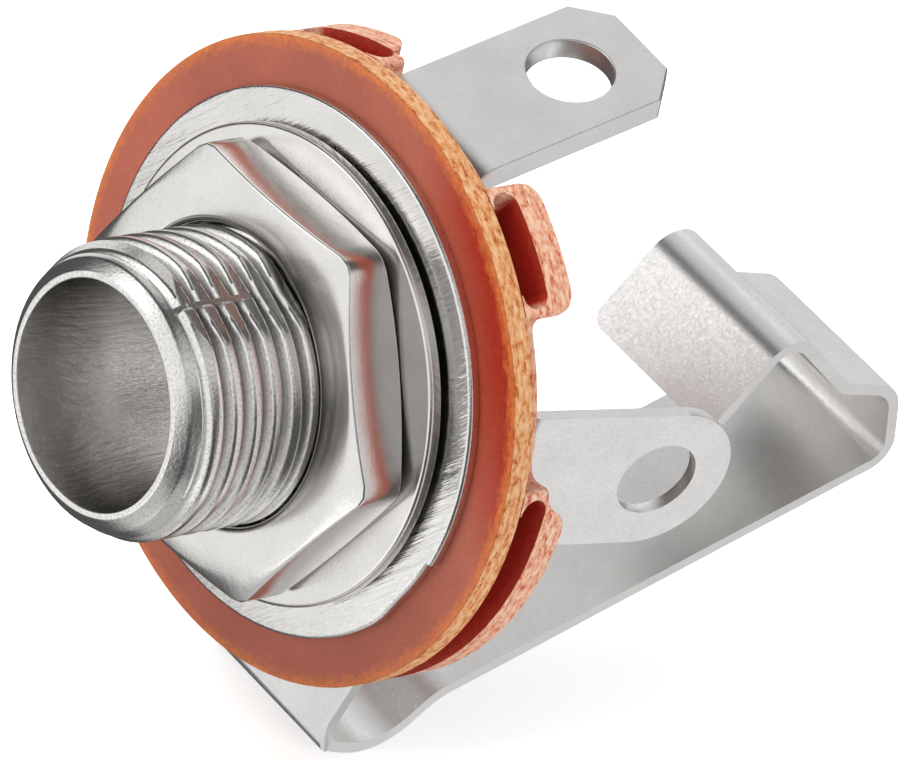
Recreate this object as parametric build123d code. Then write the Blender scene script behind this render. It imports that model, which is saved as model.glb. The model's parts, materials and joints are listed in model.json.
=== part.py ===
"""Quarter inch phone jack, open frame, two conductor, for panel mounting.

Millimetres, +Z up. The jack's axis is Y and the plug enters towards +Y.
The origin is on that axis, in the face of the flange that meets the panel.
A clock angle turns about the axis from +X towards +Z, seen by the plug.
"""
from build123d import *
from math import atan2, cos, degrees, radians, sin, sqrt, tan
import os

# Bushing: one casting with the plug's bore, a 3/8 inch thread, a flange and a tail
bore_r = 3.25
mouth_r = 3.67
mouth_length = 1.2
lip_r = 4.08
lead_in = 1.15
thread_r = 4.7625
thread_pitch = 0.79375
thread_depth = 0.36
thread_runout = 0.3
thread_length = 7.8
flange_r = 8.8
flange_t = 0.4
flange_edge = 0.16
tail_wall = 0.65
swage_overhang = 0.85
swage_t = 0.55

# Nut and washer on the thread
nut_flats = 12.8
nut_t = 2.1
nut_clock_deg = 4
nut_face_inset = 0.15
nut_chamfer_deg = 17
nut_bore_chamfer = 0.35
thread_clearance = 0.05
washer_past_nut = 0.31
washer_t = 0.45
washer_clearance = 0.2
washer_gap = 0.2
washer_to_nut = 0.02

# Vulcanised fibre discs between the metal parts
disc_r = 10.4
front_insulator_t = 0.8
keyed_insulator_t = 1.0
middle_insulator_r = 6.2
middle_insulator_t = 1.0
collar_wall = 0.45
rear_insulator_r = 5.3
rear_insulator_t = 0.68
seat_clearance = 0.05

# Raised keys of the keyed disc, in degrees of clock on each side of their middle
key_clock_deg = 83.3
lug_notch_half_deg = 16
short_key_deg = 24.5
spare_notch_deg = 30.3
long_key_deg = 76
key_gap = 1.05
key_depth = 2.1
key_wall = 0.7
notch_depth = 0.95
notch_round = 0.45
key_corner_r = 0.2
key_rise = 1.75
steep_end_round = 0.8
slot_end_wall = 0.3
slot_end_r = 0.5
lug_clearance = 0.15

# Sleeve terminal: a ring with one solder lug
sleeve_lug_clock_deg = 88
sleeve_sheet = 0.8
sleeve_ring_gap = 0.2
sleeve_lug_w = 5.0
sleeve_lug_reach = 9.04
sleeve_lug_deg = 73.3
sleeve_lug_length = 8.2
sleeve_lug_corner = 1.1
sleeve_bend_r = 0.95
sleeve_hole_from_end = 2.8
lug_hole_r = 1.4

# Tip terminal: ring, solder lug, tapered tongue and the fold that carries the spring
tip_sheet = 0.42
tip_ring_r = 5.9
tip_lug_clock_deg = -3
tip_lug_w = 5.3
tip_lug_reach = 6.845
tip_lug_deg = 80.2
tip_lug_length = 8.57
tip_bend_r = 0.6
tongue_top_w = 10.4
tongue_top_drop = 2.8
tongue_end_gap = 0.6
leg_setback = 0.85
joggle_top_drop = 9.4
joggle_end_drop = 10.9
joggle_r = 0.8

# Tip spring: the same strip, given as straight runs between bends on its outer face
strip_w = 6.35
fold_drop = 14.2
heel_run = 2.9
heel_dip_deg = -14
heel_lift_run = 2.75
heel_lift_deg = 45.8
arm_run = 18.8
arm_deg = 21.65
back_run = 3.37
back_deg = 110
roof_run = 2.7
roof_deg = 168.9
rise_run = 4.67
rise_deg = 141.9
ramp_run = 4.56
ramp_deg = 239.5
fold_r = 0.5
heel_r = 2.7
heel_end_r = 2.4
back_low_r = 1.0
back_high_r = 1.6
roof_r = 0.8
ridge_r = 1.28
free_corner_r = 0.6
root_from_fold = 0.66
root_clearance = 0.04

# How far a cut runs on past the face that it leaves
cut_past = 1.0

# Places along the axis, each from the piece before it
rim_y = -thread_length
tail_r = bore_r + tail_wall
hole_r = tail_r + seat_clearance
front_insulator_y = flange_t
keyed_y = front_insulator_y + front_insulator_t
sleeve_y = keyed_y + keyed_insulator_t
middle_y = sleeve_y + sleeve_sheet
tip_y = middle_y + middle_insulator_t
leg_y = tip_y + leg_setback
rear_insulator_y = tip_y + tip_sheet
swage_y = rear_insulator_y + rear_insulator_t
key_top_y = keyed_y + key_gap + keyed_insulator_t
washer_y = -washer_gap - washer_t
nut_y = washer_y - washer_to_nut - nut_t
nut_face_r = nut_flats / 2 - nut_face_inset
nut_corner_r = nut_flats / sqrt(3)
washer_r = nut_corner_r + washer_past_nut
collar_r = hole_r + collar_wall
key_in_r = disc_r - key_depth - key_wall
sleeve_ring_r = key_in_r - sleeve_ring_gap


def at_clock(shape, angle):
    """Turn a shape about the jack's axis, from +X towards +Z."""
    return Rot(0, -angle, 0) * shape


def turned(points):
    """A full turn about the axis of a closed outline of (radius, y) points."""
    return revolve(make_face(Polyline(*points, close=True)), Axis.Y, 360)


def ring(r_in, r_out, y_0, y_1):
    return turned([(r_in, y_0), (r_out, y_0), (r_out, y_1), (r_in, y_1)])


def ring_sector(r_in, r_out, y_0, y_1, start, end):
    """The part of a ring between two clock angles."""
    corners = Polyline((r_in, y_0), (r_out, y_0), (r_out, y_1), (r_in, y_1), close=True)
    swept = revolve(make_face(corners), Axis((0, 0, 0), (0, -1, 0)), end - start)
    return at_clock(swept, start)


def polar_step(point, heading, length):
    """The point a given length further along a heading in degrees."""
    return (point[0] + length * cos(radians(heading)), point[1] + length * sin(radians(heading)))


def heading_of(start, end):
    return degrees(atan2(end[1] - start[1], end[0] - start[0]))


def side_shift(point, heading, amount):
    """A point moved to the left of a heading."""
    return polar_step(point, heading + 90, amount)


def offset_corners(corners, thickness):
    """The left face's corners of a strip whose right face has the given corners."""
    headings = [heading_of(a, b) for a, b in zip(corners, corners[1:])]
    inner = [side_shift(corners[0], headings[0], thickness)]
    for before, after, corner in zip(headings, headings[1:], corners[1:-1]):
        turn = (after - before + 180) % 360 - 180
        reach = thickness / cos(radians(turn / 2))
        inner.append(side_shift(corner, before + turn / 2, reach))
    inner.append(side_shift(corners[-1], headings[-1], thickness))
    return inner


def bent_line(corners, radii):
    """Straight runs joined by tangent arcs, one radius for each inner corner."""
    edges = []
    start = corners[0]
    for before, corner, after, radius in zip(corners, corners[1:], corners[2:], radii):
        heading = heading_of(before, corner)
        turn = (heading_of(corner, after) - heading + 180) % 360 - 180
        reach = radius * tan(radians(abs(turn) / 2))
        arc_start = polar_step(corner, heading, -reach)
        arc_end = polar_step(corner, heading + turn, reach)
        bulge = radius / cos(radians(turn / 2)) - radius
        side = 90 if turn > 0 else -90
        middle = polar_step(corner, heading + turn / 2 + side, bulge)
        edges += [Line(start, arc_start), ThreePointArc(arc_start, middle, arc_end)]
        start = arc_end
    return edges + [Line(start, corners[-1])]


def strip_face(corners, radii, thickness):
    """The section of a bent sheet: outer corners, outer bend radii, sheet on the left."""
    inner = offset_corners(corners, thickness)
    inner_radii = []
    for a, b, c, radius in zip(corners, corners[1:], corners[2:], radii):
        turn = (heading_of(b, c) - heading_of(a, b) + 180) % 360 - 180
        inner_radii.append(radius - thickness if turn > 0 else radius + thickness)
    sides = bent_line(corners, radii) + bent_line(inner, inner_radii)
    caps = [Line(corners[0], inner[0]), Line(corners[-1], inner[-1])]
    return make_face(sides + caps)


def thread_outline():
    """V grooves one pitch apart, from the lead-in to just before the flange."""
    start_y = rim_y + lead_in
    points = [(thread_r, start_y)]
    for k in range(int((-start_y - thread_runout) / thread_pitch)):
        y = start_y + k * thread_pitch
        points += [(thread_r - thread_depth, y + thread_pitch / 2), (thread_r, y + thread_pitch)]
    return points + [(thread_r, 0)]


def bushing():
    """Bore, thread, flange and the tail that is swaged over the stack."""
    end_y = swage_y + swage_t
    swage_r = tail_r + swage_overhang
    return turned([
        (bore_r, rim_y + mouth_length),
        (mouth_r, rim_y),
        (lip_r, rim_y),
        *thread_outline(),
        (flange_r - flange_edge, 0),
        (flange_r, flange_edge),
        (flange_r, flange_t),
        (tail_r, flange_t),
        (tail_r, swage_y),
        (swage_r, swage_y),
        (swage_r, end_y - swage_t / 2),
        (swage_r - swage_t / 2, end_y),
        (bore_r + swage_t / 2, end_y),
        (bore_r, end_y - swage_t / 2),
    ])


def hex_nut():
    """A thin hexagon nut, its corners turned back on both faces."""
    bore = thread_r + thread_clearance
    prism = extrude(Plane.XZ * RegularPolygon(nut_flats / 2, 6, major_radius=False), nut_t)
    prism = at_clock(Pos(0, nut_y + nut_t, 0) * prism, nut_clock_deg)
    outer = nut_corner_r + cut_past
    fall = (outer - nut_face_r) * tan(radians(nut_chamfer_deg))
    blank = turned([
        (bore + nut_bore_chamfer, nut_y),
        (nut_face_r, nut_y),
        (outer, nut_y + fall),
        (outer, nut_y + nut_t - fall),
        (nut_face_r, nut_y + nut_t),
        (bore + nut_bore_chamfer, nut_y + nut_t),
        (bore, nut_y + nut_t - nut_bore_chamfer),
        (bore, nut_y + nut_bore_chamfer),
    ])
    return prism & blank


def panel_washer():
    """A stamped flat washer, loose on the thread."""
    return ring(thread_r + washer_clearance, washer_r, washer_y, washer_y + washer_t)


def front_insulator():
    return ring(hole_r, disc_r, front_insulator_y, keyed_y)


def key_spans():
    """The raised keys in mirrored pairs: start and end clock, and whether each end is steep."""
    short_start = lug_notch_half_deg
    short_end = short_start + short_key_deg
    long_start = short_end + spare_notch_deg
    long_end = long_start + long_key_deg
    return [
        (key_clock_deg + short_start, key_clock_deg + short_end, False, True),
        (key_clock_deg + long_start, key_clock_deg + long_end, False, False),
        (key_clock_deg - short_end, key_clock_deg - short_start, True, True),
        (key_clock_deg - long_end, key_clock_deg - long_start, False, False),
    ]


def between_keys():
    """Clock angles from the end of each key to the start of the next."""
    spans = sorted((start, end) for start, end, *_ in key_spans())
    starts = [start for start, _ in spans[1:]] + [spans[0][0] + 360]
    return [(end, start) for (_, end), start in zip(spans, starts)]


def rim_degrees(length):
    """The clock angle of a length measured along the disc's rim."""
    return degrees(length / disc_r)


def tangent_plane():
    """A plane across the radius at clock 0: x along the rim, y along the axis."""
    return Plane(origin=(0, 0, 0), x_dir=(0, 0, 1), z_dir=(-1, 0, 0))


def radial_cut(profile, clock, r_in):
    """Sweep a rim profile outwards along the radius at a clock angle."""
    start = tangent_plane() * Pos(0, 0, -r_in) * profile
    return at_clock(extrude(start, -(disc_r + cut_past - r_in)), clock)


def key_slot(start, end):
    """The open gap under a key, with round ends."""
    inset = rim_degrees(slot_end_wall + slot_end_r)
    floor_r = disc_r - key_depth
    low, high = start + inset, end - inset
    slot = ring_sector(
        floor_r, disc_r + cut_past, keyed_y - cut_past, keyed_y + key_gap, low, high
    )
    round_end = Pos(0, keyed_y + key_gap - slot_end_r) * Circle(slot_end_r)
    for clock in (low, high):
        slot += radial_cut(round_end, clock, floor_r)
    return slot


def key_shoulder(side, steep):
    """What is cut from behind a key's end: a round corner, or an S-shaped rise."""
    if steep:
        foot, top = (0, key_top_y - steep_end_round), (side * steep_end_round, key_top_y)
        rise = [TangentArc(foot, top, tangent=(0, 1))]
    else:
        foot, top = (0, sleeve_y), (side * key_rise, key_top_y)
        middle = (side * key_rise / 2, (sleeve_y + key_top_y) / 2)
        rise = [TangentArc(foot, middle, tangent=(side, 0)), TangentArc(top, middle, tangent=(-side, 0))]
    above_foot, above_top = (0, key_top_y + cut_past), (top[0], key_top_y + cut_past)
    return make_face(rise + [Line(top, above_top), Line(above_top, above_foot), Line(above_foot, foot)])


def on_key(corner):
    return corner.center().length > disc_r - notch_depth / 2


def keyed_outline():
    """The disc's edge: full radius on the keys, set back with round corners between."""
    disc = Circle(disc_r)
    far = 2 * disc_r
    for start, end in between_keys():
        half = radians(end - start) / 2
        side = far * sin(half)
        wedge = Polyline((0, 0), (far * cos(half), -side), (far * cos(half), side), close=True)
        notch = make_face(wedge) - Circle(disc_r - notch_depth)
        disc -= Rot(0, 0, (start + end) / 2) * notch
    disc = fillet(disc.vertices().filter_by(on_key), key_corner_r)
    return fillet(disc.vertices().filter_by(on_key, reverse=True), notch_round)


def keyed_insulator():
    """A fibre disc whose rim lifts off the front disc in four raised keys."""
    blank = extrude(Plane.XZ * keyed_outline(), -(key_top_y - keyed_y))
    disc = Pos(0, keyed_y, 0) * blank
    inside, outside = key_in_r - cut_past, disc_r + cut_past
    above = key_top_y + cut_past
    disc -= ring(0, hole_r, keyed_y - cut_past, above)
    disc -= ring(0, key_in_r, sleeve_y, above)
    for start, end in between_keys():
        disc -= ring_sector(inside, outside, sleeve_y, above, start, end)
    channel = Box(disc_r + cut_past, above - sleeve_y, sleeve_lug_w + 2 * lug_clearance)
    channel = Pos((disc_r + cut_past) / 2, (above + sleeve_y) / 2, 0) * channel
    disc -= at_clock(channel, sleeve_lug_clock_deg)
    for start, end, steep_start, steep_end in key_spans():
        disc -= key_slot(start, end)
        disc -= radial_cut(key_shoulder(1, steep_start), start, inside)
        disc -= radial_cut(key_shoulder(-1, steep_end), end, inside)
    return disc


def lug_corners(plate_y, reach, lean_deg, length):
    """Outer corners of a flat lug that leaves the tail and leans to the rear."""
    bend = (reach, plate_y)
    return [(tail_r, plate_y), bend, polar_step(bend, lean_deg, length)]


def lug_plane(plate_y, reach, lean_deg, along):
    """A plane on a lug's outer face, its x along the lug and its centre on its middle."""
    lean = radians(lean_deg)
    face = Plane(
        origin=(reach, plate_y, 0), x_dir=(cos(lean), sin(lean), 0), z_dir=(sin(lean), -cos(lean), 0)
    )
    return face * Pos(along, 0, 0)


def sleeve_terminal():
    """A ring on the tail with one lug bent back between two keys."""
    plate = ring(hole_r, sleeve_ring_r, sleeve_y, middle_y)
    place = (sleeve_y, sleeve_lug_reach, sleeve_lug_deg)
    strip = strip_face(lug_corners(*place, sleeve_lug_length), [sleeve_bend_r], sleeve_sheet)
    lug = extrude(strip, sleeve_lug_w / 2, both=True)
    corner_side = sqrt(2) * sleeve_lug_corner
    cut = Rot(0, 0, 45) * Rectangle(corner_side, corner_side)
    for side in (-1, 1):
        corner = lug_plane(*place, sleeve_lug_length) * Pos(0, side * sleeve_lug_w / 2, 0) * cut
        lug -= extrude(corner, 2 * sleeve_sheet, both=True)
    hole = lug_plane(*place, sleeve_lug_length - sleeve_hole_from_end) * Circle(lug_hole_r)
    lug -= extrude(hole, 2 * sleeve_sheet, both=True)
    bore = ring(0, hole_r, sleeve_y - cut_past, middle_y + cut_past)
    return plate + (at_clock(lug, sleeve_lug_clock_deg) - bore)


def middle_insulator():
    """A fibre spacer with a collar that keeps the tip terminal off the tail."""
    return turned([
        (hole_r, middle_y),
        (middle_insulator_r, middle_y),
        (middle_insulator_r, tip_y),
        (collar_r, tip_y),
        (collar_r, rear_insulator_y),
        (hole_r, rear_insulator_y),
    ])


def rear_insulator():
    return ring(hole_r, rear_insulator_r, rear_insulator_y, swage_y)


def spring_corners():
    """Outer corners of the strip in (y, z), from the fold to the free end."""
    corners = [(leg_y, -fold_drop)]
    runs = [
        (heel_dip_deg, heel_run), (heel_lift_deg, heel_lift_run), (arm_deg, arm_run),
        (back_deg, back_run), (roof_deg, roof_run), (rise_deg, rise_run), (ramp_deg, ramp_run),
    ]
    for heading, run in runs:
        corners.append(polar_step(corners[-1], heading, run))
    return corners


def across(face, width):
    """Extrude a (y, z) section to both sides of the middle plane."""
    return extrude(Plane.YZ * face, width / 2, both=True)


def tongue():
    """From the ring down, stepped to the rear below the discs, and round the fold."""
    fold = spring_corners()[0]
    end = polar_step(fold, heel_dip_deg, root_from_fold - root_gap())
    line = [
        (tip_y, -tongue_top_drop), (tip_y, -joggle_top_drop), (leg_y, -joggle_end_drop), fold, end,
    ]
    bent = across(strip_face(line, [joggle_r, joggle_r, fold_r], tip_sheet), tongue_top_w)
    neck = -fold_drop + fold_r + tongue_end_gap
    half, low = strip_w / 2, -fold_drop - fold_r
    outline = Polyline(
        (-tongue_top_w / 2, -tongue_top_drop), (tongue_top_w / 2, -tongue_top_drop),
        (half, neck), (half, low), (-half, low), (-half, neck), close=True
    )
    taper = extrude(Plane.XZ * make_face(outline), -(leg_y + fold_drop))
    return bent & taper


def tip_terminal():
    """Ring, solder lug and the tapered tongue that ends in the fold."""
    place = (tip_y, tip_lug_reach, tip_lug_deg)
    strip = strip_face(lug_corners(*place, tip_lug_length), [tip_bend_r], tip_sheet)
    lug = extrude(strip, tip_lug_w / 2, both=True)
    end_r = tip_lug_w / 2
    hole_centre = lug_plane(*place, tip_lug_length - end_r)
    beyond = Pos(end_r, 0, 0) * Rectangle(2 * end_r, 2 * end_r + cut_past) - Circle(end_r)
    lug -= extrude(hole_centre * beyond, 2 * tip_sheet, both=True)
    lug -= extrude(hole_centre * Circle(lug_hole_r), 2 * tip_sheet, both=True)
    plate = ring(0, tip_ring_r, tip_y, rear_insulator_y)
    bore = ring(0, collar_r + seat_clearance, tip_y - cut_past, rear_insulator_y + cut_past)
    return plate + at_clock(lug, tip_lug_clock_deg) + tongue() - bore


def root_gap():
    """From the spring's root axis back to the end face of the tip terminal."""
    return tip_sheet / 2 + root_clearance


def root_axis():
    """The (y, z) place about which the spring bends away, mid sheet behind the fold."""
    on_face = polar_step(spring_corners()[0], heel_dip_deg, root_from_fold)
    return side_shift(on_face, heel_dip_deg, tip_sheet / 2)


def tip_spring():
    """Heel, arm, rear bend, ridge and lead-in ramp, bent from one strip."""
    corners = spring_corners()
    corners[0] = polar_step(corners[0], heel_dip_deg, root_from_fold)
    radii = [heel_r, heel_end_r, back_low_r, back_high_r, roof_r, ridge_r]
    spring = across(strip_face(corners, radii, tip_sheet), strip_w)
    y, z = root_axis()
    spring += across(Pos(y, z, 0) * Circle(tip_sheet / 2), strip_w)
    end_y, end_z = side_shift(corners[-1], ramp_deg, tip_sheet / 2)
    ends = [nearest_edge(spring, (side * strip_w / 2, end_y, end_z)) for side in (-1, 1)]
    return fillet(ends, free_corner_r)


def nearest_edge(shape, place):
    """The edge of a shape whose middle lies nearest to a place."""
    return min(shape.edges(), key=lambda edge: (edge.center() - Vector(place)).length)


def write(name, shape):
    export_step(shape, f"parts/{name}.step")


os.makedirs("parts", exist_ok=True)
write("bushing", bushing())
write("hex_nut", hex_nut())
write("panel_washer", panel_washer())
write("front_insulator", front_insulator())
write("keyed_insulator", keyed_insulator())
write("sleeve_terminal", sleeve_terminal())
write("middle_insulator", middle_insulator())
write("tip_terminal", tip_terminal())
write("tip_spring", tip_spring())
write("rear_insulator", rear_insulator())
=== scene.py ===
"""Looks of the quarter inch phone jack, in metres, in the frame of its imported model.

The jack's axis is Y and the plug enters towards +Y. Lengths in outlines are in
millimetres and become metres where a mesh is made. A clock angle is in degrees
about the axis, from +X towards +Z.
"""
import bmesh
import bpy
import json
from math import cos, degrees, floor, radians, sin, tan
from mathutils import Matrix, Vector


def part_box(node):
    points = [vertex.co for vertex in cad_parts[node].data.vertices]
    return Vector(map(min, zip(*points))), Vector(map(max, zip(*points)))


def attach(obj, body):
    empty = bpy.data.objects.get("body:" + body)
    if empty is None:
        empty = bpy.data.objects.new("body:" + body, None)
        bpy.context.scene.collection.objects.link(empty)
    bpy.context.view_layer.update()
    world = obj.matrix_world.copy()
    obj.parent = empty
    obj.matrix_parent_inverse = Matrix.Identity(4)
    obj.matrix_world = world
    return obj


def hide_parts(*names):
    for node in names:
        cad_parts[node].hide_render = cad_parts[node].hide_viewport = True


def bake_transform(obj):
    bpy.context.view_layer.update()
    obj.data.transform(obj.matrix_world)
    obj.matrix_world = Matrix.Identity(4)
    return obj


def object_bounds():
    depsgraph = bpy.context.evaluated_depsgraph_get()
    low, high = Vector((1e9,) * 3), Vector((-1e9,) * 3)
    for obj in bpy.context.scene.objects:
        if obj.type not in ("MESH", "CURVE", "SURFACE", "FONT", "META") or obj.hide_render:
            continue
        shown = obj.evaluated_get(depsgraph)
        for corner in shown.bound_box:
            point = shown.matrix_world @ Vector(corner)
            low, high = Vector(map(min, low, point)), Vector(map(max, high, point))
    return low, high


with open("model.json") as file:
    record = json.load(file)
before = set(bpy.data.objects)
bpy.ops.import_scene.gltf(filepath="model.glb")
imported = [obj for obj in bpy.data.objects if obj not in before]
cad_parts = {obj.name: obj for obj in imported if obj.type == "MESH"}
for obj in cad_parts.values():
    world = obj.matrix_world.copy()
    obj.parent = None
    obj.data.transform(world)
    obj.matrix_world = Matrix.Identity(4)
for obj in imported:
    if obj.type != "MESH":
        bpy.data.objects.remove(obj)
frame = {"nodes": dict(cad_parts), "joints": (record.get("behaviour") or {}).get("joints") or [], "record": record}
cad_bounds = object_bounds()

MM = 0.001

# The photograph's camera, fitted to the discs, flange, washer, bore and strip
IMAGE_W, IMAGE_H = 903, 760
CAMERA_AZIMUTH = 39.907
CAMERA_ELEVATION = 31.092
CAMERA_ROLL = 21.694
CAMERA_DISTANCE = 302.645
PIXELS_PER_MM = 31.78475
AIM_PIXEL = (292.077, 361.355)
AIM_POINT = Vector((0, 0.4, 0))
SENSOR_MM = 36
CLIP_START_M = 0.01

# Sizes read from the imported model, in millimetres
bushing_low, bushing_high = [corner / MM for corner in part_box("bushing")]
nut_low, nut_high = [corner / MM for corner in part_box("hex_nut")]
washer_low, washer_high = [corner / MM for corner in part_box("panel_washer")]
disc_low, disc_high = [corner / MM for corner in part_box("front_insulator")]
mounts = {mount["name"]: mount for mount in frame["record"]["mounts"]}
BORE_R = mounts["plug_bore"]["dims"]["r_mm"]
THREAD_R = mounts["bushing_thread"]["dims"]["r_mm"]
RIM_Y = bushing_low.y
TAIL_END_Y = bushing_high.y
FLANGE_R = bushing_high.x
FLANGE_T = disc_low.y

# Mouth and lead-in of the bushing, in millimetres, with y behind the rim
MOUTH_R = 3.67
MOUTH_LENGTH = 3.2
LIP_R = 3.88
SHOULDER_R = 4.3
SHOULDER_Y = 0.3
LEAD_IN = 1.15

# Thread: 32 turns to the inch, with flats and a rib along the mould's parting line
THREAD_PITCH = 0.79375
THREAD_START = 0.4
THREAD_ROWS = 16
THREAD_DEPTH = 0.42
THREAD_FADE = 0.6
GROOVE_HALF = 0.29
THREAD_PHASE = 0.3
PARTING_CLOCK = 71.5
PARTING_FLAT_R = 4.58
FLAT_BLEND = 0.08
FLAT_REACH_DEG = 60
RIB_HALF = 0.1
RIB_HEIGHT = 0.09
RIB_LENGTH = 3.6

# Flange, its rim's trimmed stretch, and the swaged tail
FLANGE_FACE_R = THREAD_R + 0.2
FLANGE_FACING = 0.9
TRIM_START = -34
TRIM_END = -10
TRIM_EASE_DEG = 12
TRIM_DEPTH = 0.16
TAIL_R = 3.9
SWAGE_R = 4.75
SWAGE_Y = 5.1

# Columns of points round the bushing, closer ones across each rib, and steps of a rounding
BUSHING_COLUMNS = 300
RIB_COLUMNS_EACH_SIDE = 8
RIB_COLUMN_DEG = 0.25
ROUNDING_STEPS = 4

# Nut, washer and front disc
NUT_FLATS = 12.8
NUT_FACE_R = 6.25
NUT_CHAMFER_DEG = 17
NUT_CLOCK = 4
NUT_BORE_R = 4.8125
NUT_CORNER_ROUND = 0.12
NUT_COLUMN_DEG = 3
WASHER_BORE_R = THREAD_R + 0.2
DISC_BORE_R = TAIL_R + 0.05
WASHER_COLUMNS = 240
DISC_COLUMNS = 360

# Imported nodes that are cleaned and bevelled, in millimetres and degrees
WELD_MM = 0.002
FLAT_WITHIN_DEG = 1
BEVEL_OVER_DEG = 35
BEVEL_SEGMENTS = 3
SHARP_OVER_DEG = 38
LUG_BEVEL = 0.07
DISC_BEVEL = 0.05
STRIP_BEVEL = 0.06

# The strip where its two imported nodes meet, and the blend of its bend
TIP_SHEET = 0.42
ROOT_GAP = 0.25
ROOT_SLACK = 0.01
HEEL_DIP_DEG = -14

# Nickel plate: noise features per millimetre, and where on the noise a change begins and ends
DRIFT_PER_MM = 0.5
DRIFT_STOPS = (0.32, 0.68)
PLATE_DRIFT = 0.92
SPECK_DRIFT = 0.9
SPECK_STOPS = (0.4, 0.5)
GLOSS_STOPS = (0.3, 0.7)
GLOSS_RANGE = (1.3, 0.8)
# Painted shade in the thread's grooves: where it begins and ends along a groove's depth, how strongly it is mixed
# in, its colours, and where behind the rim it starts and how fast it comes in, per millimetre
GROOVE_SHADE_STOPS = (0.45, 0.95)
GROOVE_SHADE_SHARE = 0.85
GROOVE_SHADE_COLOURS = ((0.12, 0.11, 0.1), (0.2, 0.185, 0.17))
GROOVE_SHADE_FROM_RIM = 0.6
GROOVE_SHADE_FULL_PER_MM = 2

# Fibre: likewise. The faces' colours are paler to carry a painted sheen, which is left out on one side of each
# face, in redder colours
GRAIN_PER_MM = 9
CLOUD_PER_MM = 0.3
STRANDS_PER_UNIT = 1.3
UNITS_ALONG_RIM = 22
UNITS_PER_MM_ACROSS = 4.5
STRAND_STOPS = (0.36, 0.47, 0.62)
FACE_STOPS = (0.4, 0.6)
GRAIN_STOPS = (0.3, 0.7)
# The side of the face where the painted sheen is left out: its direction, its clouds, its scale, and where the
# change begins and ends
SHEENLESS_SIDE_X, SHEENLESS_SIDE_Z = 0.78, 0.62
SHEENLESS_CLOUD_MM = 2
SHEENLESS_SCALE = 0.08
SHEENLESS_STOPS = (0.66, 0.84)
# Painted glow of light through the fibre, orange along the faces' border: the radius it starts from, how far the
# strands make it ragged, and where it begins and ends
RIM_GLOW_FROM_R = 10.55
RIM_GLOW_RAGGED_MM = 1.2
RIM_GLOW_STOPS = (0, 0.5)
FACE_FLATNESS = (0.55, 0.9)
FIBRE_ROUGH = (0.36, 0.5)
FIBRE_SPECULAR = 0.25
STRAND_HEIGHT = 0.12
GRAIN_HEIGHT = 0.006

# Floor, in metres
FLOOR_HALF = 0.6
FLOOR_TONE = 0.9
FLOOR_ROUGH = 0.9
FLOOR_GLOW = 0.5

# What matt surfaces see: tones from the dark end of the sky to its bright end
SKY_BRIGHT = (-0.5, -0.3, 0.8)
SKY_TONES = (0.2, 0.4, 0.75)

# What metal shows: dim gaps, and softboxes as (direction, full within, gone beyond,
# brightness), with the angles from the direction in degrees
GAP_TONE = 0.1
SOFTBOXES = [
    ((-0.32, -0.93, -0.1), 40, 49, 0.97),
    ((0.05, -0.55, -0.83), 16, 30, 0.5),
    ((0.55, -0.66, 0.5), 15, 30, 0.5),
    ((-0.5, 0.2, 0.85), 22, 32, 0.64),
    ((0.72, 0.6, 0), 40, 56, 0.7),
    ((-0.75, 0.6, 0.2), 28, 38, 0.8),
    ((0.55, 0, 0.84), 20, 32, 0.45),
    ((0.45, 0.1, -0.9), 24, 38, 0.45),
]

# Lamps as (name, place, diameter, watts, shown in metal), in metres
LAMP_AIM = Vector((0, 0.006, -0.002))
LAMPS = [
    ("key", (-0.24, -0.3, 0.58), 0.5, 4, False),
    ("side", (0.45, 0.05, 0.12), 0.4, 1.2, False),
    ("fill", (-0.34, -0.46, 0.2), 0.3, 0.15, True),
]


# Shapes

def at_clock(radius, y, clock):
    """The point in metres at a radius and y in millimetres and a clock angle."""
    return Vector((radius * cos(radians(clock)), y, radius * sin(radians(clock)))) * MM


def even_clocks(count):
    return [360 * k / count for k in range(count)]


def clock_gap(a, b):
    """The angle between two clock angles, from 0 to 180."""
    return abs((a - b + 180) % 360 - 180)


def smooth_step(value):
    """0 to 1 as the value goes from 0 to 1, level at both ends."""
    t = min(max(value, 0), 1)
    return t * t * (3 - 2 * t)


def soft_min(a, b, blend):
    """The lesser of two lengths, eased where they are less than blend apart."""
    near = max(blend - abs(a - b), 0) / blend
    return min(a, b) - near * near * blend / 4


def softened(corners):
    """A closed outline of (radius, y, rounding) corners, with an arc at each rounded one."""
    points = []
    for i, (r, y, rounding) in enumerate(corners):
        if rounding == 0:
            points.append((r, y))
            continue
        here = Vector((r, y))
        before = (Vector(corners[i - 1][:2]) - here).normalized()
        after = (Vector(corners[(i + 1) % len(corners)][:2]) - here).normalized()
        half = before.angle(after) / 2
        reach = rounding / tan(half)
        centre = here + (before + after).normalized() * rounding / sin(half)
        first = here + before * reach - centre
        last = here + after * reach - centre
        turn = first.angle_signed(last)
        for step in range(ROUNDING_STEPS + 1):
            arm = first.copy()
            arm.rotate(Matrix.Rotation(-turn * step / ROUNDING_STEPS, 2))
            points.append(tuple(centre + arm))
    return points


def add_piece(name, mesh, material, body):
    """A smooth shaded piece with its material, that rides on a body if one is given."""
    mesh.validate()
    bm = bmesh.new()
    bm.from_mesh(mesh)
    bmesh.ops.recalc_face_normals(bm, faces=bm.faces)
    bm.to_mesh(mesh)
    bm.free()
    mesh.shade_smooth()
    mesh.set_sharp_from_angle(angle=radians(SHARP_OVER_DEG))
    piece = bpy.data.objects.new(name, mesh)
    bpy.context.scene.collection.objects.link(piece)
    mesh.materials.append(material)
    if body:
        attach(piece, body)
    return piece


def new_piece(name, vertices, faces, material, body):
    mesh = bpy.data.meshes.new(name)
    mesh.from_pydata([tuple(v) for v in vertices], [], faces)
    return add_piece(name, mesh, material, body)


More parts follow.
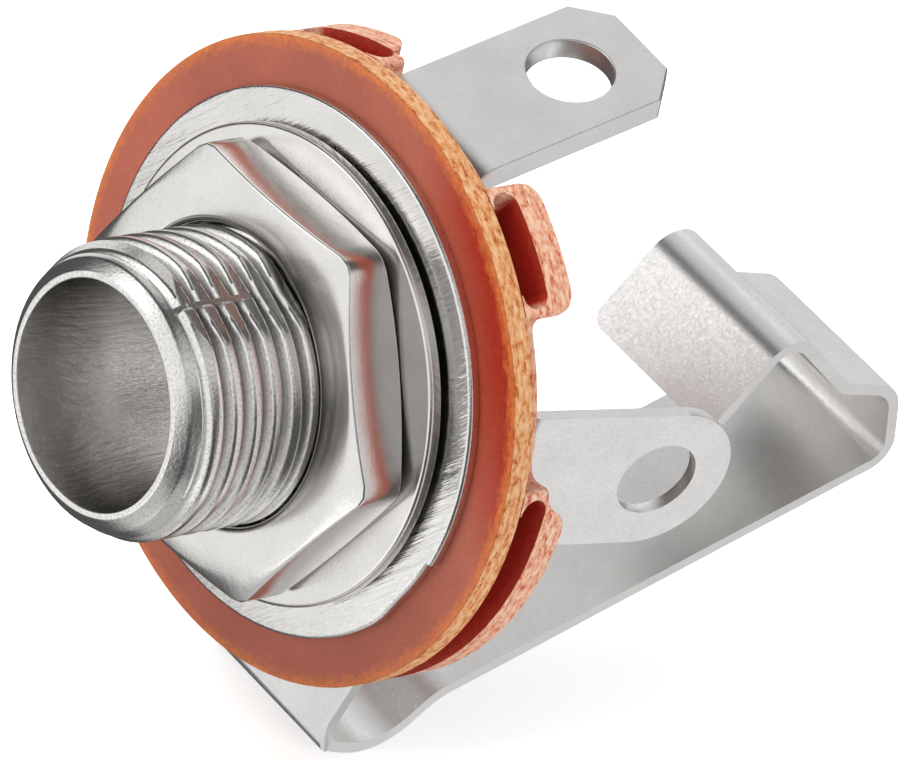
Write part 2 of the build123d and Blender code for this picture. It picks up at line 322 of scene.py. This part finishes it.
def grid_faces(columns, rows):
    """Four-sided faces of a ring of closed sections."""
    faces = []
    for c in range(columns):
        here, there = c * rows, (c + 1) % columns * rows
        for k in range(rows):
            n = (k + 1) % rows
            faces.append((here + k, there + k, there + n, here + n))
    return faces


def turned(name, outline, columns, material, body):
    """A closed outline of (radius, y) turned about the axis."""
    vertices = [at_clock(r, y, clock) for clock in even_clocks(columns) for r, y in outline]
    faces = grid_faces(columns, len(outline))
    return new_piece(name, vertices, faces, material, body)


def thread_radius(y, clock):
    """Right-hand thread with wide crests, flattened along the mould's parting line."""
    turn = (y / THREAD_PITCH + clock / 360 + THREAD_PHASE) % 1
    off_groove = abs(turn - 0.5) * THREAD_PITCH
    r = THREAD_R - THREAD_DEPTH * smooth_step(1 - off_groove / GROOVE_HALF)
    off_parting = min(clock_gap(clock, PARTING_CLOCK), clock_gap(clock, PARTING_CLOCK + 180))
    flat_r = PARTING_FLAT_R / cos(radians(min(off_parting, FLAT_REACH_DEG)))
    r = soft_min(r, flat_r, FLAT_BLEND)
    if off_parting < degrees(RIB_HALF / THREAD_R) and y < RIM_Y + RIB_LENGTH:
        r = max(r, PARTING_FLAT_R + RIB_HEIGHT)
    return r


def blank_radius(y):
    """Outer radius under the thread: the lead-in's cone and then the cylinder."""
    along = (y - RIM_Y - SHOULDER_Y) / (LEAD_IN - SHOULDER_Y)
    return SHOULDER_R + (THREAD_R - SHOULDER_R) * min(along, 1)


def bushing_shape(r, y, clock, threaded):
    """Move a threaded point along the helix and cut the thread there, or trim the flange's rim."""
    if threaded:
        y += -clock * THREAD_ROWS / 360 % 1 * THREAD_PITCH / THREAD_ROWS
        cut = (thread_radius(y, clock) - THREAD_R) * smooth_step(-y / THREAD_FADE)
        r = min(blank_radius(y), THREAD_R + cut)
    elif r > FLANGE_R - TRIM_DEPTH:
        at = (clock + 180) % 360 - 180
        if TRIM_START < at < TRIM_END:
            r -= TRIM_DEPTH * smooth_step((at - TRIM_START) / TRIM_EASE_DEG)
    return r, y


def helical_faces(clocks, rows, first, last):
    """Faces of the turned grid whose rows from first to last follow the thread.

    Those rows drop by one row's height in each step of clock. Where a step ends they
    start again one row up, so each is joined to the one before it in the next column.
    """
    levels = [floor(-clock * THREAD_ROWS / 360) for clock in clocks] + [-THREAD_ROWS]
    faces = []
    for c in range(len(clocks)):
        here, there = c * rows, (c + 1) % len(clocks) * rows
        step_ends = levels[c + 1] < levels[c]
        for k in range(rows):
            n = (k + 1) % rows
            if not step_ends or not first - 1 <= k <= last:
                faces.append((here + k, there + k, there + n, here + n))
            elif k == first - 1:
                faces.append((here + k, there + k, there + n, here + n + 1, here + n))
            elif k == last:
                faces.append((here + k, there + k - 1, there + k, there + n, here + n))
            elif k > first:
                faces.append((here + k, there + k - 1, there + k, here + n))
    return faces


def bushing_clocks():
    clocks = set(even_clocks(BUSHING_COLUMNS))
    each_side = range(-RIB_COLUMNS_EACH_SIDE, RIB_COLUMNS_EACH_SIDE + 1)
    for rib in (PARTING_CLOCK, PARTING_CLOCK + 180):
        clocks |= {rib + RIB_COLUMN_DEG * k for k in each_side}
    # Both sides of the step where the trimmed stretch ends
    clocks |= {360 + TRIM_END - 0.2, 360 + TRIM_END + 0.01}
    return sorted(clocks)


def make_bushing(material, bore_material, flange_material):
    """Bore, rounded mouth, thread, flange and swaged tail."""
    outline = softened([
        (BORE_R, TAIL_END_Y, 0.25), (BORE_R, RIM_Y + MOUTH_LENGTH, 8), (MOUTH_R, RIM_Y, 0.05),
        (LIP_R, RIM_Y, 0.12), (SHOULDER_R, RIM_Y + SHOULDER_Y, 0.3),
        (THREAD_R, RIM_Y + LEAD_IN, 0), (THREAD_R, 0, 0),
        (FLANGE_R, 0, 0.14), (FLANGE_R, FLANGE_T, 0.04), (TAIL_R, FLANGE_T, 0),
        (TAIL_R, SWAGE_Y, 0), (SWAGE_R, SWAGE_Y, 0.1), (SWAGE_R, TAIL_END_Y, 0.25),
    ])
    # The lead-in's end gives way to the thread's rows
    first = outline.index((THREAD_R, RIM_Y + LEAD_IN))
    start, step = RIM_Y + THREAD_START, THREAD_PITCH / THREAD_ROWS
    heights = [start + step * k for k in range(floor(-start / step))]
    last = first + len(heights) - 1
    outline[first:first + 1] = [(blank_radius(y), y) for y in heights]

    clocks = bushing_clocks()
    vertices = [
        at_clock(*bushing_shape(r, y, clock, first <= k <= last), clock)
        for clock in clocks for k, (r, y) in enumerate(outline)
    ]
    faces = helical_faces(clocks, len(outline), first, last)
    piece = new_piece("threaded_bushing", vertices, faces, material, "stack")
    piece.data.materials.append(bore_material)
    piece.data.materials.append(flange_material)
    # The bore and the flange's flat faces have materials of their own
    for face in piece.data.polygons:
        r = face.center.xz.length / MM
        if r < MOUTH_R:
            face.material_index = 1
        elif r > FLANGE_FACE_R and abs(face.normal.y) > FLANGE_FACING:
            face.material_index = 2
    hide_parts("bushing")


def nut_columns():
    """Clock angles and outer radii of a hexagon with slightly rounded corners."""
    apothem = NUT_FLATS / 2
    blunt = apothem / cos(radians(30)) - NUT_CORNER_ROUND
    columns = []
    for side in range(6):
        middle = NUT_CLOCK + 30 + 60 * side
        for off in range(-30, 30, NUT_COLUMN_DEG):
            columns.append((middle + off, min(apothem / cos(radians(off)), blunt)))
    return columns


def make_nut(material):
    """Thin hexagon nut with conical chamfers and softened edges."""
    front_y, back_y = nut_low.y, nut_high.y
    lean = tan(radians(NUT_CHAMFER_DEG))
    vertices = []
    columns = nut_columns()
    for clock, outer in columns:
        fall = (outer - NUT_FACE_R) * lean
        section = softened([
            (NUT_BORE_R, back_y, 0.2), (NUT_BORE_R, front_y, 0.25), (NUT_FACE_R, front_y, 0),
            (outer, front_y + fall, 0.1), (outer, back_y - fall, 0.1), (NUT_FACE_R, back_y, 0),
        ])
        vertices += [at_clock(r, y, clock) for r, y in section]
    faces = grid_faces(len(columns), len(vertices) // len(columns))
    piece = new_piece("thin_nut", vertices, faces, material, "nut")
    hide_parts("hex_nut")


def make_washer(material):
    outline = softened([
        (WASHER_BORE_R, washer_low.y, 0.05), (washer_high.x, washer_low.y, 0.14),
        (washer_high.x, washer_high.y, 0.06), (WASHER_BORE_R, washer_high.y, 0),
    ])
    piece = turned("flat_washer", outline, WASHER_COLUMNS, material, "washer")
    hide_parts("panel_washer")


def make_front_disc(material):
    outline = softened([
        (DISC_BORE_R, disc_low.y, 0), (disc_high.x, disc_low.y, 0.09),
        (disc_high.x, disc_high.y, 0.06), (DISC_BORE_R, disc_high.y, 0),
    ])
    piece = turned("front_disc", outline, DISC_COLUMNS, material, "stack")
    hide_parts("front_insulator")


def clean_copy(node):
    """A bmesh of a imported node's mesh with its flat faces made whole."""
    bm = bmesh.new()
    bm.from_mesh(frame["nodes"][node].data)
    bmesh.ops.remove_doubles(bm, verts=bm.verts, dist=WELD_MM * MM)
    bmesh.ops.dissolve_limit(
        bm, angle_limit=radians(FLAT_WITHIN_DEG), verts=bm.verts, edges=bm.edges,
        use_dissolve_boundaries=False
    )
    return bm


def rounded_piece(name, shape, material, body, width_mm):
    """A piece from a bmesh, its sharp edges bevelled for good and its faces shaded flat."""
    mesh = bpy.data.meshes.new(name)
    shape.to_mesh(mesh)
    shape.free()
    bm = bmesh.new()
    bm.from_mesh(mesh)
    sharp = [
        e for e in bm.edges
        if len(e.link_faces) == 2 and e.calc_face_angle(0) > radians(BEVEL_OVER_DEG)
    ]
    bmesh.ops.bevel(
        bm, geom=sharp, offset=width_mm * MM, segments=BEVEL_SEGMENTS, profile=0.5,
        affect="EDGES", clamp_overlap=True
    )
    bm.to_mesh(mesh)
    bm.free()
    piece = add_piece(name, mesh, material, body)
    piece.modifiers.new("flat_faces", "WEIGHTED_NORMAL").keep_sharp = True
    return piece


def make_rounded(name, node, material, width_mm):
    """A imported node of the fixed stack, cleaned and bevelled."""
    piece = rounded_piece(name, clean_copy(node), material, "stack", width_mm)
    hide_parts(node)


def yz_direction(angle_deg):
    return Vector((0, cos(radians(angle_deg)), sin(radians(angle_deg))))


def join_strip(root):
    """The tip's terminal and spring as the one strip that they are, bridged at the root."""
    heading = yz_direction(HEEL_DIP_DEG)
    slack = ROOT_SLACK * MM
    spring = clean_copy("tip_spring")
    spring_mesh = bpy.data.meshes.new("spring_part")
    spring.to_mesh(spring_mesh)
    spring.free()
    strip = clean_copy("tip_terminal")
    strip.from_mesh(spring_mesh)
    bpy.data.meshes.remove(spring_mesh)

    def along(vertex):
        return (vertex.co - root).dot(heading)

    def is_cap(face):
        """The flat end of the terminal, or the round end of the spring."""
        flat_end = all(abs(along(v) + ROOT_GAP * MM) < slack for v in face.verts)
        off_root = max((v.co - root).yz.length for v in face.verts)
        round_end = off_root < TIP_SHEET / 2 * MM + slack and along(face.verts[0]) < slack
        return flat_end or round_end

    bmesh.ops.delete(strip, geom=[f for f in strip.faces if is_cap(f)], context="FACES")
    bmesh.ops.bridge_loops(strip, edges=[e for e in strip.edges if e.is_boundary])
    return strip


def make_strip(material):
    """The strip, joined at its bend at the root, across a plane that leaves the lug on the terminal's side."""
    root = Vector(next(j for j in frame["joints"] if j["name"] == "tip_flex")["pos_m"])
    strip = join_strip(root)
    piece = rounded_piece("tip_strip", strip, material, None, STRIP_BEVEL)
    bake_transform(piece)
    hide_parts("tip_terminal", "tip_spring")


# Materials

class Graph:
    """Adds nodes to a material or a world, and links them as they are made."""

    def __init__(self, tree):
        self.nodes = tree.nodes
        self.links = tree.links

    def feed(self, socket, value):
        """Set a socket to a number or vector, or link an output to it."""
        if isinstance(value, bpy.types.NodeSocket):
            self.links.new(value, socket)
        else:
            socket.default_value = value

    def math(self, operation, *values):
        node = self.nodes.new("ShaderNodeMath")
        node.operation = operation
        for socket, value in zip(node.inputs, values):
            self.feed(socket, value)
        return node.outputs["Value"]

    def texture_place(self, kind):
        return self.nodes.new("ShaderNodeTexCoord").outputs[kind]

    def millimetres(self, stretch=(1, 1, 1), turn_deg=0):
        """Object coordinates in millimetres, turned about the axis and then stretched."""
        node = self.nodes.new("ShaderNodeMapping")
        self.feed(node.inputs["Vector"], self.texture_place("Object"))
        if turn_deg:
            node.vector_type = "TEXTURE"
            self.feed(node.inputs["Rotation"], (0, radians(turn_deg), 0))
            self.feed(node.inputs["Scale"], [MM / s for s in stretch])
        else:
            self.feed(node.inputs["Scale"], [s / MM for s in stretch])
        return node.outputs["Vector"]

    def split(self, vector):
        node = self.nodes.new("ShaderNodeSeparateXYZ")
        self.feed(node.inputs["Vector"], vector)
        return [node.outputs[axis] for axis in "XYZ"]

    def axis_radius(self, x, z):
        squares = self.math("ADD", self.math("POWER", x, 2), self.math("POWER", z, 2))
        return self.math("SQRT", squares)

    def noise(self, vector, scale, detail=4, roughness=0.55):
        node = self.nodes.new("ShaderNodeTexNoise")
        self.feed(node.inputs["Vector"], vector)
        self.feed(node.inputs["Scale"], scale)
        self.feed(node.inputs["Detail"], detail)
        self.feed(node.inputs["Roughness"], roughness)
        return node.outputs["Fac"]

    def ramp(self, value, places, colours):
        """Colours, or greys given as numbers, at places from 0 to 1 along a value."""
        node = self.nodes.new("ShaderNodeValToRGB")
        self.feed(node.inputs["Fac"], value)
        points = node.color_ramp.elements
        while len(points) < len(places):
            points.new(0.5)
        for point, place, colour in zip(points, places, colours):
            point.position = place
            point.color = (*(colour if isinstance(colour, tuple) else [colour] * 3), 1)
        return node.outputs["Color"]

    def mixed(self, factor, first, second):
        node = self.nodes.new("ShaderNodeMix")
        node.data_type = "RGBA"
        self.feed(node.inputs["Factor"], factor)
        colours = [socket for socket in node.inputs if socket.type == "RGBA"]
        self.feed(colours[0], first)
        self.feed(colours[1], second)
        return next(socket for socket in node.outputs if socket.type == "RGBA")

    def bump(self, height, height_mm, below=None):
        node = self.nodes.new("ShaderNodeBump")
        self.feed(node.inputs["Strength"], 1)
        self.feed(node.inputs["Distance"], height_mm * MM)
        self.feed(node.inputs["Height"], height)
        if below:
            self.feed(node.inputs["Normal"], below)
        return node.outputs["Normal"]

    def seen_by(self, *rays):
        """1 for the named kinds of ray, else 0."""
        outputs = self.nodes.new("ShaderNodeLightPath").outputs
        seen = outputs[rays[0]]
        for ray in rays[1:]:
            seen = self.math("MAXIMUM", seen, outputs[ray])
        return seen


def new_material(name):
    material = bpy.data.materials.new(name)
    material.use_nodes = True
    tree = material.node_tree
    return material, Graph(tree), tree.nodes["Principled BSDF"].inputs


def tinted(tint, share):
    return tuple(channel * share for channel in tint)


def groove_depth(graph):
    """0 on the thread's crests and at the lip, to 1 at the bottom of a groove."""
    x, y, z = graph.split(graph.millimetres())
    fallen = graph.math("SUBTRACT", THREAD_R, graph.axis_radius(x, z))
    behind_lip = graph.math("SUBTRACT", y, RIM_Y + GROOVE_SHADE_FROM_RIM)
    started = graph.math("MINIMUM", graph.math("MULTIPLY", behind_lip, GROOVE_SHADE_FULL_PER_MM), 1)
    return graph.math("MULTIPLY", graph.math("MULTIPLY", fallen, 1 / THREAD_DEPTH), started)


def nickel(name, tint, rough, peel, grit, specks, brush=None, grooves=False):
    """Nickel plate: colour drift, dark specks, uneven gloss, a wavy skin and fine grit.

    peel, grit and brush begin with features per millimetre and height in millimetres,
    and brush ends with its lines' stretch and turn. specks is the share of the tint
    that a speck keeps. grooves paints shade into the thread's grooves, darker towards
    their bottoms.
    """
    material, graph, shader = new_material(name)
    place = graph.millimetres()
    drift = graph.noise(place, DRIFT_PER_MM)
    speck = graph.noise(place, grit[0], detail=5, roughness=0.65)
    speck_tints = (tinted(tint, SPECK_DRIFT * specks), tinted(tint, specks))
    plate_tints = (tinted(tint, PLATE_DRIFT), tint)
    colour = graph.mixed(
        graph.ramp(speck, SPECK_STOPS, (0, 1)),
        graph.ramp(drift, DRIFT_STOPS, speck_tints),
        graph.ramp(drift, DRIFT_STOPS, plate_tints)
    )
    # Painted shade in the thread's grooves, darker towards the bottom of each
    if grooves:
        groove_shade = graph.ramp(groove_depth(graph), GROOVE_SHADE_STOPS, (0, GROOVE_SHADE_SHARE))
        colour = graph.mixed(groove_shade, colour, graph.ramp(speck, (0, 1), GROOVE_SHADE_COLOURS))
    normal = graph.bump(graph.noise(place, peel[0], detail=3), peel[1])
    normal = graph.bump(speck, grit[1], normal)
    if brush:
        lines = graph.noise(graph.millimetres(*brush[2:]), brush[0], roughness=0.7)
        normal = graph.bump(lines, brush[1], normal)
    roughness = graph.ramp(speck, GLOSS_STOPS, [rough * share for share in GLOSS_RANGE])
    graph.feed(shader["Metallic"], 1)
    graph.feed(shader["Base Color"], colour)
    graph.feed(shader["Roughness"], roughness)
    graph.feed(shader["Normal"], normal)
    return material


def strand_noise(graph):
    """Noise drawn out along the discs' rims, and the distance from the axis."""
    x, y, z = graph.split(graph.millimetres())
    radius = graph.axis_radius(x, z)
    joined = graph.nodes.new("ShaderNodeCombineXYZ")
    angle = graph.math("ARCTAN2", z, x)
    graph.feed(joined.inputs["X"], graph.math("MULTIPLY", angle, UNITS_ALONG_RIM))
    graph.feed(joined.inputs["Y"], graph.math("MULTIPLY", y, UNITS_PER_MM_ACROSS))
    graph.feed(joined.inputs["Z"], graph.math("MULTIPLY", radius, UNITS_PER_MM_ACROSS))
    strands = graph.noise(joined.outputs["Vector"], STRANDS_PER_UNIT, detail=6, roughness=0.75)
    return strands, radius


def fibre(name, face, sheenless, rim, edge):
    """Red vulcanised fibre: matt faces, and cut edges with pale drawn-out strands.

    The first three arguments are two colours each: of the faces, paler with a painted
    sheen; of the side of the faces where that sheen is left out; and of a painted glow
    along their border. edge is the three colours of the strands.
    """
    material, graph, shader = new_material(name)
    place = graph.millimetres()
    grain = graph.noise(place, GRAIN_PER_MM, detail=5, roughness=0.7)
    cloud = graph.noise(place, CLOUD_PER_MM, detail=3)
    strands, radius = strand_noise(graph)

    mottle = graph.math("MULTIPLY", graph.math("ADD", cloud, grain), 0.5)
    face_colour = graph.ramp(mottle, FACE_STOPS, face)
    # Painted sheen: towards one side of the face, and in clouds, the paler colours with the sheen give way to
    # redder ones without it
    x, _, z = graph.split(place)
    side = graph.math("MULTIPLY_ADD", x, SHEENLESS_SIDE_X, graph.math("MULTIPLY", z, SHEENLESS_SIDE_Z))
    side = graph.math("MULTIPLY_ADD", cloud, SHEENLESS_CLOUD_MM, side)
    sheenless_mask = graph.ramp(graph.math("MULTIPLY", side, SHEENLESS_SCALE), SHEENLESS_STOPS, (0, 1))
    face_colour = graph.mixed(sheenless_mask, face_colour, graph.ramp(grain, GRAIN_STOPS, sheenless))
    # Painted glow of light through the fibre, orange along the faces' border
    past_rim = graph.math("SUBTRACT", radius, RIM_GLOW_FROM_R)
    rim_glow_mask = graph.ramp(
        graph.math("MULTIPLY_ADD", strands, RIM_GLOW_RAGGED_MM, past_rim), RIM_GLOW_STOPS, (0, 1)
    )
    face_colour = graph.mixed(rim_glow_mask, face_colour, graph.ramp(grain, GRAIN_STOPS, rim))

    _, facing_y, _ = graph.split(graph.texture_place("Normal"))
    on_face = graph.ramp(graph.math("ABSOLUTE", facing_y), FACE_FLATNESS, (0, 1))
    colour = graph.mixed(on_face, graph.ramp(strands, STRAND_STOPS, edge), face_colour)
    on_edge = graph.math("SUBTRACT", 1, on_face)
    normal = graph.bump(graph.math("MULTIPLY", strands, on_edge), STRAND_HEIGHT)
    normal = graph.bump(grain, GRAIN_HEIGHT, normal)
    graph.feed(shader["Base Color"], colour)
    graph.feed(shader["Roughness"], graph.ramp(grain, GRAIN_STOPS, FIBRE_ROUGH))
    graph.feed(shader["Specular IOR Level"], FIBRE_SPECULAR)
    graph.feed(shader["Normal"], normal)
    return material


def paint_node(name, material):
    """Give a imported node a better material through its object's slots."""
    for slot in frame["nodes"][name].material_slots:
        slot.link = "OBJECT"
        slot.material = material


# Studio

def make_camera():
    azimuth, elevation, roll = map(radians, (CAMERA_AZIMUTH, CAMERA_ELEVATION, CAMERA_ROLL))
    back = Vector((sin(azimuth) * cos(elevation), -cos(azimuth) * cos(elevation), sin(elevation)))
    level = Vector((cos(azimuth), sin(azimuth), 0))
    upright = back.cross(level)
    right = level * cos(roll) + upright * sin(roll)
    up = -level * sin(roll) + upright * cos(roll)
    aside = (AIM_PIXEL[0] - IMAGE_W / 2) / PIXELS_PER_MM
    above = -(AIM_PIXEL[1] - IMAGE_H / 2) / PIXELS_PER_MM
    centre = AIM_POINT + back * CAMERA_DISTANCE - right * aside - up * above
    data = bpy.data.cameras.new("camera")
    data.sensor_width = SENSOR_MM
    data.lens = SENSOR_MM * PIXELS_PER_MM * CAMERA_DISTANCE / IMAGE_W
    data.clip_start = CLIP_START_M
    camera = bpy.data.objects.new("camera", data)
    turn = Matrix((right, up, back)).transposed().to_4x4()
    camera.matrix_world = Matrix.Translation(centre * MM) @ turn
    bpy.context.scene.collection.objects.link(camera)
    bpy.context.scene.camera = camera


def make_floor(level):
    """A pale floor that is white to the camera, isn't seen in metal, and keeps a soft shadow."""
    signs = ((-1, -1), (1, -1), (1, 1), (-1, 1))
    corners = [(x * FLOOR_HALF, y * FLOOR_HALF, level) for x, y in signs]
    mesh = bpy.data.meshes.new("floor")
    mesh.from_pydata(corners, [], [(0, 1, 2, 3)])
    floor_plane = bpy.data.objects.new("floor", mesh)
    bpy.context.scene.collection.objects.link(floor_plane)
    material, graph, shader = new_material("pale_floor")
    graph.feed(shader["Base Color"], (FLOOR_TONE, FLOOR_TONE, FLOOR_TONE, 1))
    graph.feed(shader["Roughness"], FLOOR_ROUGH)
    graph.feed(shader["Specular IOR Level"], 0)
    graph.feed(shader["Emission Color"], (1, 1, 1, 1))
    seen = graph.seen_by("Is Camera Ray", "Is Transmission Ray")
    graph.feed(shader["Emission Strength"], graph.math("MULTIPLY", seen, FLOOR_GLOW))
    mesh.materials.append(material)
    floor_plane.visible_glossy = False


def make_world():
    """White to the camera, softboxes and dim gaps in metal, and a soft sky for matt surfaces."""
    world = bpy.data.worlds.new("studio")
    bpy.context.scene.world = world
    world.use_nodes = True
    graph = Graph(world.node_tree)
    ray = graph.texture_place("Generated")

    def facing(direction):
        node = graph.nodes.new("ShaderNodeVectorMath")
        node.operation = "DOT_PRODUCT"
        graph.feed(node.inputs[0], ray)
        graph.feed(node.inputs[1], Vector(direction).normalized())
        return node.outputs["Value"]

    toward_bright = graph.math("MULTIPLY_ADD", facing(SKY_BRIGHT), 0.5, 0.5)
    sky = graph.ramp(toward_bright, (0, 0.5, 1), SKY_TONES)
    boxes = GAP_TONE
    for direction, full_within, gone_beyond, brightness in SOFTBOXES:
        node = graph.nodes.new("ShaderNodeMapRange")
        node.interpolation_type = "SMOOTHSTEP"
        graph.feed(node.inputs["Value"], facing(direction))
        graph.feed(node.inputs["From Min"], cos(radians(gone_beyond)))
        graph.feed(node.inputs["From Max"], cos(radians(full_within)))
        graph.feed(node.inputs["To Max"], brightness)
        boxes = graph.math("ADD", boxes, node.outputs["Result"])
    lit = graph.mixed(graph.seen_by("Is Glossy Ray", "Is Transmission Ray"), sky, boxes)
    shown = graph.mixed(graph.seen_by("Is Camera Ray"), lit, (1, 1, 1, 1))
    graph.feed(graph.nodes["Background"].inputs["Color"], shown)


def make_lamp(name, place, diameter, watts, in_metal):
    data = bpy.data.lights.new(name, "AREA")
    data.shape = "DISK"
    data.size = diameter
    data.energy = watts
    lamp = bpy.data.objects.new(name, data)
    lamp.location = place
    lamp.rotation_euler = (Vector(place) - LAMP_AIM).to_track_quat("Z", "Y").to_euler()
    lamp.visible_glossy = in_metal
    bpy.context.scene.collection.objects.link(lamp)


# The casting's thread has painted shade in its grooves
casting = nickel(
    "nickel_casting", tint=(0.82, 0.805, 0.78), rough=0.13, peel=(1.4, 0.004),
    grit=(11, 0.007), specks=0.82, grooves=True
)
# The bore's tint is paler than the casting's, as painted light inside the bore; its rougher, brushed finish is its
# own
bore = nickel(
    "nickel_bore", tint=(0.9, 0.885, 0.865), rough=0.16, peel=(2.2, 0.003),
    grit=(9, 0.004), specks=0.9, brush=(5, 0.04, (1, 0.1, 1), 0)
)
flange = nickel(
    "nickel_flange", tint=(0.74, 0.725, 0.7), rough=0.12, peel=(2.2, 0.002),
    grit=(9, 0.002), specks=1, brush=(4, 0.045, (0.06, 1, 1), -52)
)
bright = nickel(
    "nickel_bright", tint=(0.77, 0.755, 0.735), rough=0.17, peel=(1.2, 0.006),
    grit=(12, 0.004), specks=0.97
)
sheet = nickel(
    "nickel_sheet", tint=(0.78, 0.77, 0.755), rough=0.33, peel=(1.8, 0.004),
    grit=(10, 0.003), specks=0.98
)
front_fibre = fibre(
    "fibre_front",
    face=((0.34, 0.09, 0.055), (0.43, 0.112, 0.068)),
    sheenless=((0.27, 0.01, 0.001), (0.36, 0.022, 0.002)),
    rim=((0.55, 0.13, 0.025), (0.66, 0.2, 0.05)),
    edge=((0.42, 0.06, 0.01), (0.74, 0.32, 0.11), (0.85, 0.54, 0.32))
)
keyed_fibre = fibre(
    "fibre_keyed",
    face=((0.3, 0.012, 0.008), (0.38, 0.02, 0.012)),
    sheenless=((0.3, 0.012, 0.008), (0.36, 0.02, 0.01)),
    rim=((0.36, 0.03, 0.02), (0.45, 0.06, 0.03)),
    edge=((0.5, 0.07, 0.035), (0.8, 0.36, 0.22), (0.9, 0.64, 0.47))
)

make_bushing(casting, bore, flange)
make_nut(bright)
make_washer(bright)
make_front_disc(front_fibre)
make_rounded("sleeve_lug", "sleeve_terminal", sheet, LUG_BEVEL)
make_rounded("keyed_disc", "keyed_insulator", keyed_fibre, DISC_BEVEL)
make_strip(sheet)
for name in ("middle_insulator", "rear_insulator"):
    paint_node(name, keyed_fibre)

make_camera()
make_floor(cad_bounds[0][2])
make_world()
for lamp in LAMPS:
    make_lamp(*lamp)

bpy.context.scene.view_settings.view_transform = "Standard"
